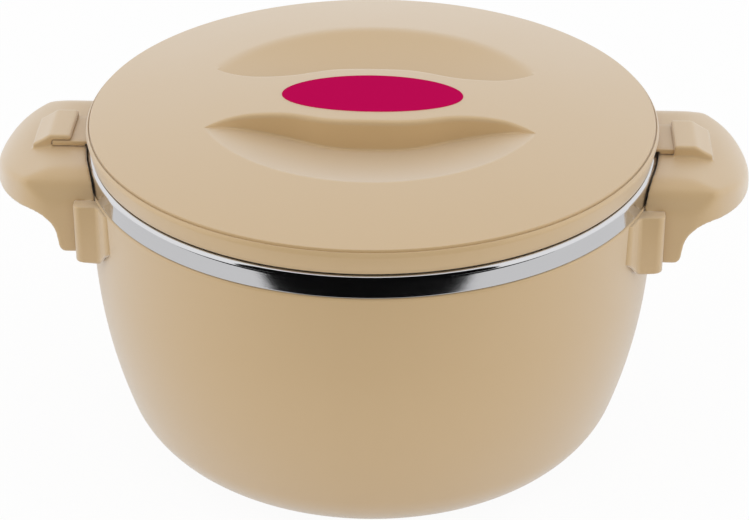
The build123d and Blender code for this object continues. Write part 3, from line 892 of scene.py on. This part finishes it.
def moulded_material(
    name, colour, low, high, spread=0.03, grain=2600.0, strength=0.12, depth=0.00006,
    ior=1.5, shine=0.5, sheen=0.0, coat=0.0,
):
    """Moulded or printed plastic with a roughness between low and high."""
    if name in bpy.data.materials:
        return bpy.data.materials[name]
    material, tree, shader, place = new_material(name)
    skin = place_group(
        tree, moulding_grain_group(), Vector=place, Colour=(*colour, 1),
        Low=low, High=high, Tone_Spread=spread, Grain_Scale=grain,
    )
    tree.links.new(skin.outputs["Colour"], shader.inputs["Base Color"])
    tree.links.new(skin.outputs["Roughness"], shader.inputs["Roughness"])
    bump(tree, shader, skin.outputs["Height"], strength, depth)
    constants = {
        "IOR": ior, "Specular IOR Level": shine, "Sheen Weight": sheen, "Sheen Roughness": 0.5,
        "Coat Weight": coat, "Coat Roughness": 0.4,
    }
    for socket, value in constants.items():
        shader.inputs[socket].default_value = value
    return material


def moulding():
    """Satin plastic of the bowl, the handles and the lid, with a soft haze."""
    return moulded_material(
        "Satin moulding", finishes().moulding, 0.36, 0.48, sheen=0.55, shine=0.9, coat=0.75
    )


def stopper_material():
    """Plain plastic of the two stoppers."""
    return moulded_material("Stopper moulding", finishes().stopper, 0.42, 0.58)


def seal_material():
    """Matte soft ring with a faint bloom."""
    return moulded_material("Soft ring", finishes().seal, 0.5, 0.72, spread=0.35, strength=0.2)


def badge_material():
    """Matt printed oval with a faint speckle."""
    return moulded_material(
        "Printed badge", finishes().badge, 0.3, 0.42,
        spread=0.05, grain=1800.0, strength=0.05, depth=0.00003, ior=1.01,
    )


def steel_material():
    """Polished steel with fine lines round the axis."""
    name = "Polished steel"
    if name in bpy.data.materials:
        return bpy.data.materials[name]
    material, tree, shader, place = new_material(name)
    lines = place_group(
        tree, turned_lines_group(), Vector=place, Line_Scale=5200.0, Sweep=2.0, Low=0.05, High=0.11
    )
    tint = add_node(
        tree, "ShaderNodeHueSaturation", Color=(*finishes().steel, 1),
        Value=maths(tree, "ADD", maths(tree, "MULTIPLY", lines.outputs["Height"], 0.06), 0.97),
    )
    tree.links.new(tint.outputs[0], shader.inputs["Base Color"])
    tree.links.new(lines.outputs["Roughness"], shader.inputs["Roughness"])
    shader.inputs["Metallic"].default_value = 1.0
    bump(tree, shader, lines.outputs["Height"], 0.08, 0.00004)
    return material


def foam_material():
    """Porous insulating foam."""
    name = "Insulating foam"
    if name in bpy.data.materials:
        return bpy.data.materials[name]
    material, tree, shader, place = new_material(name)
    cells = add_node(tree, "ShaderNodeTexVoronoi", Vector=place, Scale=1300.0).outputs[0]
    cloud = add_node(tree, "ShaderNodeTexNoise", Vector=place, Scale=40.0, Detail=3.0).outputs[0]
    tint = add_node(
        tree, "ShaderNodeHueSaturation", Color=(*finishes().foam, 1),
        Value=maths(tree, "ADD", summed(tree, cloud, 0.16, cells, 0.12), 0.84),
    )
    tree.links.new(tint.outputs[0], shader.inputs["Base Color"])
    rough = add_node(tree, "ShaderNodeMapRange", Value=cells, To_Min=0.8, To_Max=0.95)
    tree.links.new(rough.outputs[0], shader.inputs["Roughness"])
    bump(tree, shader, cells, 0.5, 0.0003)
    return material


def rail_outline(s, h):
    """Outline from above of one rail: a post, a fillet and a thin pad on the wall."""
    inner, outer = h.rail_inner, h.rail_inner + h.rail_width
    pad, under = s.rim_radius + h.pad_thickness, s.rim_radius - 0.002
    reach = outer + h.pad_width
    blend = h.pad_fillet

    def on_round(radius, y):
        """Point of a round of a radius at a place across."""
        return math.sqrt(radius * radius - y * y), y

    post = h.rail_face - h.rail_round
    corner = arc((post, outer - h.rail_round), h.rail_round, 0, math.pi / 2, 9)
    last = Vector(on_round(pad, outer + blend))
    first = Vector((last.x + blend * 0.9, outer))
    knee = Vector((on_round(pad, outer + blend * 0.3)[0], outer + blend * 0.12))
    fillet = [
        tuple(first * (1 - t) ** 2 + knee * 2 * t * (1 - t) + last * t * t) for t in np.linspace(0, 1, 7)
    ]
    run = [on_round(pad, y) for y in np.linspace(outer + blend, reach - 0.0016, 5)[1:]]
    end = [
        on_round(pad - h.pad_thickness * sink * sink, reach - short)
        for sink, short in ((0.4, 0.0009), (0.75, 0.0003), (1.0, 0))
    ]
    back = [on_round(under, y) for y in np.linspace(reach, inner, 6)]
    return [(h.rail_face, inner)] + corner + fillet + run + end + back


class BOWL_OT_shell(bpy.types.Operator):
    """Build the moulded outer bowl with its foot ring and the rails that hold the handles"""

    bl_idname = "bowl.shell"
    bl_label = "Outer Bowl"

    def execute(self, context):
        s, h = sizes(), handle_sizes()
        wall = WallCurve(s)
        base = s.rim_radius - s.base_inset
        clear = 0.0002
        neck = s.band_radius - s.steel_sheet - clear
        neck_top = s.rim_top - s.rim_round
        inside = wall.at(s.shell_wall, neck_top)
        shoulder, below = s.rim_height + s.rim_lift, s.rim_height - 0.003
        foot = rounded(
            [
                (0, s.foot_recess, 0),
                (base - s.foot_width - 0.0004, s.foot_recess, 0.0006),
                (base - s.foot_width, 0, 0.0004),
                (base, 0, 0),
            ],
            steps=4,
        )
        rim = rounded(
            [
                (wall.at(0, below), below, 0),
                (s.rim_radius, shoulder, s.shoulder_round),
                (neck, shoulder, 0.0003),
                (neck, neck_top, 0.0002),
                (inside, neck_top, 0),
            ],
            steps=5,
        )
        section = foot[:-1] + wall.points(0, below - 0.0006) + rim[:-1]
        section += wall.points(s.shell_wall, neck_top)[::-1] + [(0, s.shell_wall)]
        shell = turned("bowl_shell", section, moulding())
        settle(shell, "bowl", "moulding", "outer_bowl")

        net = bmesh.new()
        outline = rail_outline(s, h)
        post_end, slope = h.rail_inner + h.rail_width, h.pad_chamfer / h.pad_width
        low = [h.rail_bottom + slope * max(y - post_end, 0) for x, y in outline]
        high = [h.rail_bottom + h.rail_height] * len(outline)
        for flip in (1, -1):
            part = bmesh.new()
            rings = [
                [part.verts.new((x, flip * y, z)) for (x, y), z in zip(outline, heights)]
                for heights in (low, high)
            ]
            skin_rings(part, rings)
            bevelled(part, 0.0007, 3, math.radians(50))
            carry(part, net)
        rails = repeated("handle_rails", net_mesh("handle_rails", net), 2, moulding())
        settle(rails, "bowl", "moulding")
        return {"FINISHED"}


class BOWL_OT_liner(bpy.types.Operator):
    """Build the polished steel bowl with its rim turned outward and down into a band"""

    bl_idname = "bowl.liner"
    bl_label = "Steel Liner"

    def execute(self, context):
        s = sizes()
        wall = WallCurve(s)
        base = s.rim_radius - s.base_inset
        sheet, top = s.steel_sheet, s.rim_top
        neck = top - s.rim_round
        mouth = wall.at(s.wall_depth, neck)
        bottom = s.rim_height + s.band_gap
        below, edge = neck - 0.002, 0.0003
        outside = rounded(
            [
                (mouth, below, 0),
                (mouth, top, s.rim_round),
                (s.band_radius, top, s.rim_round),
                (s.band_radius, bottom, edge),
                (s.band_radius - sheet, bottom, edge),
                (s.band_radius - sheet, top - sheet, s.rim_round - sheet),
                (mouth + sheet, top - sheet, s.rim_round - sheet),
                (mouth + sheet, below, 0),
            ],
            steps=9,
        )
        section = [(0, s.wall_depth), (base * 0.5, s.wall_depth)]
        section += wall.points(s.wall_depth, below)[:-1] + outside
        section += wall.points(s.wall_depth - sheet, below - 0.002)[::-1]
        section += [(0, s.wall_depth - sheet)]
        liner = turned("steel_liner", section, steel_material())
        settle(liner, "bowl", "steel", "liner")
        return {"FINISHED"}


def ear_weights(holder, h):
    """Draw the ear's inner edge in a little, and mark all of the ear but its catch for rounding."""
    spots = read_spots(holder.data)
    radius = np.hypot(spots[:, 0], spots[:, 1])
    across, height = np.abs(spots[:, 1]), spots[:, 2]
    from_catch = np.maximum(across - h.catch_half, radius - h.catch_end)
    crisp, soft = 0.0008, 0.0036
    weight = eased(height, h.ear_low, h.ear_low + 0.0026) * eased(from_catch, crisp, soft)
    weight *= eased(radius, h.ear_inner, h.ear_inner + 0.0028)
    lip = 1 - eased(radius, h.ear_inner, h.ear_inner + 0.0024)
    draw = h.lip_in * lip * eased(height, h.ear_low, h.ear_low + 0.002)
    spots[:, :2] *= ((radius - draw) / radius)[:, None]
    write_spots(holder.data, spots)
    group = holder.vertex_groups.new(name="ear")
    steps = 20
    levels = np.round(weight * steps).astype(int)
    for level in range(1, steps + 1):
        group.add(np.flatnonzero(levels == level).tolist(), level / steps, "REPLACE")


def fill_tip(mesh, h):
    """Give the ear's tip back the thickness that the rounding took from it."""
    spots = read_spots(mesh)
    reach = np.abs(spots[:, 0])
    end = reach.max()
    middle = spots[reach > end - 0.001, 2].mean()
    half_thickness, full = 0.005, end - 0.003
    side = np.tanh((spots[:, 2] - middle) / half_thickness)
    share = eased(reach, h.fill_start, full)
    spots[:, 2] += share * side * np.where(side > 0, h.fill_above, h.fill_below)
    write_spots(mesh, spots)


def smooth_over(holder, label, passes, group=""):
    """Add a smoothing modifier, over a vertex group where one is named."""
    modifier = holder.modifiers.new(label, "SMOOTH")
    modifier.factor = 0.5
    modifier.iterations = passes
    modifier.vertex_group = group


class BOWL_OT_handles(bpy.types.Operator):
    """Build the two ear handles with their soft moulded edges and catches"""

    bl_idname = "bowl.handles"
    bl_label = "Ear Handles"

    def execute(self, context):
        h = handle_sizes()
        for name, node in (("ear_handle_right", "handle_right"), ("ear_handle_left", "handle_left")):
            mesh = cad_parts[node].data.copy()
            net = bmesh.new()
            net.from_mesh(mesh)
            bmesh.ops.remove_doubles(net, verts=net.verts, dist=MERGE)
            net.to_mesh(mesh)
            net.free()
            holder = in_scene(name + "_solid", mesh)
            remesh = holder.modifiers.new("Net", "REMESH")
            remesh.mode = "VOXEL"
            remesh.voxel_size = h.grain
            smooth_over(holder, "Soften", h.soften)
            made = evaluated_mesh(holder)
            if len(made.vertices) < 1000:
                raise RuntimeError("the handle's net came out empty")
            holder = in_scene(name + "_net", made)
            ear_weights(holder, h)
            smooth_over(holder, "Ear", h.ear_soften, "ear")
            made = evaluated_mesh(holder)
            fill_tip(made, h)
            made.name = name
            handle = new_object(name, made, moulding())
            settle(handle, "bowl", "moulding", node)
        return {"FINISHED"}


class BOWL_OT_lid(bpy.types.Operator):
    """Build the domed lid with its dish, grip bar, ring groove and lock tongues"""

    bl_idname = "bowl.lid"
    bl_label = "Lid"

    def execute(self, context):
        lid = lid_sizes()
        verts, faces = lid_net(lid)
        mesh = bpy.data.meshes.new("lid_shell")
        mesh.from_pydata(verts, [], faces)
        shell = new_object("lid_shell", mesh, moulding())
        settle(shell, "lid", "moulding", "lid_top")

        half = lid.tongue_width / 2
        root = lid.radius - lid.skirt_taper - lid.skirt_wall / 2
        step, tip = lid.radius + lid.tongue_step, lid.tongue_tip
        top, under = lid.skirt_bottom + lid.tongue_rise, lid.skirt_bottom + 0.0002
        bottom = top - lid.tongue_thickness
        section = [(root, under), (step, under), (step, bottom), (tip, bottom), (tip, top), (root, top)]
        net = bmesh.new()
        rings = [
            [net.verts.new((math.sqrt(r * r - y * y), y, z)) for r, z in section]
            for y in np.linspace(-half, half + lid.tongue_lead, 9)
        ]
        skin_rings(net, rings)
        bevelled(net, 0.0004, 3, math.radians(35))
        tongues = repeated("lid_tongues", net_mesh("lid_tongues", net), 2, moulding())
        settle(tongues, "lid", "moulding")
        return {"FINISHED"}


class BOWL_OT_badge(bpy.types.Operator):
    """Build the blank oval badge on the grip bar"""

    bl_idname = "bowl.badge"
    bl_label = "Badge"

    def execute(self, context):
        lid = lid_sizes()
        form = LidForm(lid)
        half_x, half_y = lid.badge_length / 2, lid.badge_width / 2
        proud, sunk, count = lid.badge_proud, -0.0005, 160
        rings = [(share, proud) for share in (0.25, 0.5, 0.75, 0.93, 0.985)]
        rings += [(0.993, proud - 0.00004), (0.998, proud - 0.00012), (1.0, proud - 0.00028), (1.0, sunk)]
        verts = [(0, 0, form.middle + form.ball + proud)]
        for share, rise in rings:
            for a in 2 * math.pi * np.arange(count) / count:
                x, y = half_x * share * math.cos(a), half_y * share * math.sin(a)
                verts.append((x, y, form.middle + math.sqrt((form.ball + rise) ** 2 - x * x - y * y)))
        under = len(verts)
        verts.append((0, 0, form.middle + form.ball + sunk))
        last = 1 + (len(rings) - 1) * count
        faces = []
        for i in range(count):
            j = (i + 1) % count
            faces += [(0, 1 + i, 1 + j), (under, last + j, last + i)]
            for a in range(1, last, count):
                b = a + count
                faces.append((a + i, b + i, b + j, a + j))
        mesh = bpy.data.meshes.new("oval_badge")
        mesh.from_pydata(verts, [], faces)
        badge = new_object("oval_badge", mesh, badge_material())
        settle(badge, "lid", "badge", "badge")
        return {"FINISHED"}


def stopper_section(radius, low, seat, stem, top):
    """Section of a stopper: a dished head under its seat and a stem above."""
    dished = low + 0.0003
    return rounded(
        [
            (0, dished, 0),
            (radius * 0.62, dished, 0.001),
            (radius * 0.7, low, 0.001),
            (radius, low, 0.0004),
            (radius, seat, 0.0002),
            (stem, seat, 0.0001),
            (stem, top, 0.0003),
            (0, top, 0),
        ],
        steps=5,
    )


class BOWL_OT_pan(bpy.types.Operator):
    """Build the pan that closes the lid from below, and the stopper of its filling hole"""

    bl_idname = "bowl.pan"
    bl_label = "Lid Pan"

    def execute(self, context):
        s = sizes()
        low, high = PAN_LOW.z, PAN_HIGH.z
        rim, flange = s.rim_top, PAN_HIGH.y
        wall, clear, edge = 0.002, 0.0018, 0.0003
        raised = low + 0.0006
        drum = WallCurve(s).at(s.wall_depth, rim - s.rim_round) - clear
        section = rounded(
            [
                (0, raised, 0),
                (drum * 0.55, raised, 0.004),
                (drum * 0.58, low, 0.004),
                (drum, low, 0.005),
                (drum, rim - 0.0014, 0),
                (drum + 0.0008, rim - 0.0007, edge),
                (drum, rim, 0),
                (drum, high - wall, 0.0002),
                (flange, high - wall, edge),
                (flange, high, edge),
                (drum - wall, high, edge),
                (drum - wall, low + wall, 0.003),
                (0, low + wall, 0),
            ],
            steps=6,
        )
        pan = turned("lid_pan", section, moulded_material("Pan moulding", finishes().pan, 0.34, 0.5))
        settle(pan, "lid", "pan", "lid_inner")
        head_low, head_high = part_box("lid_plug")
        stem = 0.0068
        stopper = turned(
            "lid_stopper",
            stopper_section(head_high.y, head_low.z, low + 0.0004, stem, head_high.z),
            stopper_material(),
        )
        settle(stopper, "lid", "stopper", "lid_plug")
        return {"FINISHED"}


class BOWL_OT_seal(bpy.types.Operator):
    """Build the soft ring between the lid and the steel rim"""

    bl_idname = "bowl.seal"
    bl_label = "Seal Ring"

    def execute(self, context):
        low, high = SEAL_LOW.z, SEAL_HIGH.z
        outer = SEAL_HIGH.y
        width, hollow = 0.0068, low + 0.0004
        inner = outer - width
        corners = [
            (inner, low, 0.0004),
            (inner + 0.0030, low, 0.0003),
            (inner + 0.0034, hollow, 0.0003),
            (outer - 0.0020, hollow, 0.0003),
            (outer - 0.0016, low, 0.0003),
            (outer, low, 0.0005),
            (outer, high, 0.0005),
            (inner, high, 0.0004),
        ]
        start = (inner, (low + high) / 2, 0)
        section = rounded([start] + corners + [start], steps=4)[:-1]
        seal = turned("seal_ring", section, seal_material(), ring=True)
        settle(seal, "seal", "seal", "lid_seal")
        return {"FINISHED"}


class BOWL_OT_base_stopper(bpy.types.Operator):
    """Build the stopper under the bowl"""

    bl_idname = "bowl.base_stopper"
    bl_label = "Base Stopper"

    def execute(self, context):
        low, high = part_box("base_plug")
        stem = 0.0098
        section = stopper_section(high.y, low.z, sizes().foot_recess, stem, high.z)
        stopper = turned("base_stopper", section, stopper_material())
        settle(stopper, "bowl", "stopper", "base_plug")
        return {"FINISHED"}


class BOWL_OT_foam(bpy.types.Operator):
    """Give the foam inside the walls and the lid its finish"""

    bl_idname = "bowl.foam"
    bl_label = "Foam"

    def execute(self, context):
        for node in ("bowl_insulation", "lid_insulation"):
            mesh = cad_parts[node].data
            mesh.materials.clear()
            mesh.materials.append(foam_material())
        return {"FINISHED"}


def stage_sheet(name, half, near, far, material):
    """Flat stage sheet between two level edges at (y, z) places, reaching half its width to each side."""
    mesh = bpy.data.meshes.new(name)
    mesh.from_pydata([(-half, *near), (half, *near), (half, *far), (-half, *far)], [], [(0, 1, 2, 3)])
    mesh.materials.append(material)
    sheet = in_scene(name, mesh)
    return sheet


def card(name, half, near, far, strength):
    """Stage card of an even strength that shows only in shiny faces."""
    paint = bpy.data.materials.new(name)
    paint.use_nodes = True
    tree = paint.node_tree
    tree.nodes.clear()
    glow = add_node(tree, "ShaderNodeEmission", Color=(1, 1, 1, 1), Strength=strength)
    tree.links.new(glow.outputs[0], tree.nodes.new("ShaderNodeOutputMaterial").inputs["Surface"])
    sheet = stage_sheet(name, half, near, far, paint)
    sheet.visible_camera = False
    sheet.visible_diffuse = False
    sheet.visible_transmission = False
    sheet.visible_shadow = False


def floor_material(setup):
    """Pale floor that keeps shadows, white to the camera and a little darker in shiny faces."""
    paint = bpy.data.materials.new("Pale floor")
    paint.use_nodes = True
    tree = paint.node_tree
    tree.nodes.clear()
    path = tree.nodes.new("ShaderNodeLightPath").outputs
    camera, glossy = path["Is Camera Ray"], path["Is Glossy Ray"]
    matte = add_node(tree, "ShaderNodeBsdfDiffuse", Color=(0.9, 0.9, 0.9, 1))
    darker = maths(tree, "MULTIPLY", glossy, 1.0 - setup.floor_gloss)
    glow = add_node(
        tree, "ShaderNodeEmission", Color=(1, 1, 1, 1), Strength=maths(tree, "SUBTRACT", 1.0, darker)
    )
    mix = tree.nodes.new("ShaderNodeMixShader")
    parts = (summed(tree, camera, setup.floor_glow, glossy, 0.9), matte.outputs[0], glow.outputs[0])
    for i, part in enumerate(parts):
        plug(tree, mix, i, part)
    tree.links.new(mix.outputs[0], tree.nodes.new("ShaderNodeOutputMaterial").inputs["Surface"])
    return paint


def pale_world(setup):
    """Even light all round, white to the camera and with its own strength in shiny faces."""
    world = bpy.data.worlds.new("Pale surround")
    world.use_nodes = True
    tree = world.node_tree
    sky = tree.nodes["Background"]
    sky.inputs["Color"].default_value = (1, 1, 1, 1)
    path = tree.nodes.new("ShaderNodeLightPath").outputs
    direct = maths(tree, "MAXIMUM", path["Is Camera Ray"], path["Is Transmission Ray"])
    strength = add_node(tree, "ShaderNodeMapRange", Value=direct, To_Min=setup.sky, To_Max=1.0)
    shine = maths(tree, "MULTIPLY", path["Is Glossy Ray"], setup.sky_gloss - setup.sky)
    tree.links.new(maths(tree, "ADD", strength.outputs[0], shine), sky.inputs["Strength"])
    return world


def aim_at(thing, place, aim):
    """Put a lamp or camera at a place and turn it to a point."""
    thing.location = place
    thing.rotation_euler = (Vector(aim) - thing.location).to_track_quat("-Z", "Y").to_euler()


def soft_light(name, place, size, power):
    """Square soft light that looks at the bowl's middle."""
    lamp = bpy.data.lights.new(name, "AREA")
    lamp.shape = "SQUARE"
    lamp.size = size
    lamp.energy = power
    light = in_scene(name, lamp)
    light.visible_glossy = False
    aim_at(light, place, (0, 0, 0.1))


class BOWL_OT_stage(bpy.types.Operator):
    """Set the floor, the soft light and the camera"""

    bl_idname = "bowl.stage"
    bl_label = "Stage"

    def execute(self, context):
        scene = context.scene
        setup = scene.serving_bowl_stage
        scene.view_settings.view_transform = "Standard"
        scene.world = pale_world(setup)

        stage_sheet("floor", 6, (-6, 0), (6, 0), floor_material(setup))
        dark, over_floor = 0.004, 0.002
        card("front_flag", 0.95, (-1.75, over_floor), (-0.283, over_floor), dark)
        card("rear_flag", 1.9, (-1.75, 0), (-1.2, 3.2), dark)
        card("floor_back", 2.4, (0.125, over_floor), (2.19, over_floor), setup.floor_back)
        card("back_card", 2.4, (2.2, 0.12), (2.2, 1.15), setup.back_card)

        soft_light("front_light", (0.1, -2.2, 0.85), 1.3, setup.front)
        soft_light("overhead_light", (-0.2, 0.2, 1.5), 1.4, setup.overhead)
        soft_light("left_light", (-1.7, -0.2, 0.7), 1.0, setup.side)
        soft_light("right_light", (1.7, -0.2, 0.7), 1.0, setup.side)

        camera_data = bpy.data.cameras.new("camera")
        camera_data.lens = setup.lens
        camera_data.sensor_width = 36.0
        camera_data.sensor_fit = "HORIZONTAL"
        camera_data.shift_x = setup.shift
        camera_data.clip_end = 50
        camera = in_scene("camera", camera_data)
        target = Vector((0, 0, setup.aim_height))
        level = setup.distance * math.cos(setup.elevation)
        rise = setup.distance * math.sin(setup.elevation)
        offset = Vector((level * math.sin(setup.azimuth), -level * math.cos(setup.azimuth), rise))
        aim_at(camera, target + offset, target)
        scene.camera = camera
        return {"FINISHED"}


class BOWL_PT_panel(bpy.types.Panel):
    """Sidebar list of the bowl's pieces and sizes"""

    bl_label = "Serving Bowl"
    bl_space_type = "VIEW_3D"
    bl_region_type = "UI"
    bl_category = "Serving Bowl"

    def draw(self, context):
        layout = self.layout
        for operator in OPERATORS:
            layout.operator(operator.bl_idname)
        for name, _ in GROUPS:
            box = layout.box()
            group = getattr(context.scene, name)
            for key in group.bl_rna.properties.keys():
                if key not in ("rna_type", "name"):
                    box.prop(group, key)


OPERATORS = (
    BOWL_OT_shell, BOWL_OT_liner, BOWL_OT_handles, BOWL_OT_lid, BOWL_OT_badge, BOWL_OT_pan,
    BOWL_OT_seal, BOWL_OT_base_stopper, BOWL_OT_foam, BOWL_OT_stage,
)
GROUPS = (
    ("serving_bowl_sizes", BowlSizes), ("serving_bowl_lid", LidSizes), ("serving_bowl_handles", HandleSizes),
    ("serving_bowl_finishes", BowlFinishes), ("serving_bowl_stage", StageSetup),
)


def register():
    for name, group in GROUPS:
        bpy.utils.register_class(group)
        setattr(bpy.types.Scene, name, PointerProperty(type=group))
    for operator in OPERATORS:
        bpy.utils.register_class(operator)
    bpy.utils.register_class(BOWL_PT_panel)


def unregister():
    bpy.utils.unregister_class(BOWL_PT_panel)
    for operator in reversed(OPERATORS):
        bpy.utils.unregister_class(operator)
    for name, group in reversed(GROUPS):
        delattr(bpy.types.Scene, name)
        bpy.utils.unregister_class(group)


def main():
    register()
    bpy.ops.bowl.shell()
    bpy.ops.bowl.liner()
    bpy.ops.bowl.handles()
    bpy.ops.bowl.lid()
    bpy.ops.bowl.badge()
    bpy.ops.bowl.pan()
    bpy.ops.bowl.seal()
    bpy.ops.bowl.base_stopper()
    bpy.ops.bowl.foam()
    bpy.ops.bowl.stage()


if __name__ == "__main__":
    main()
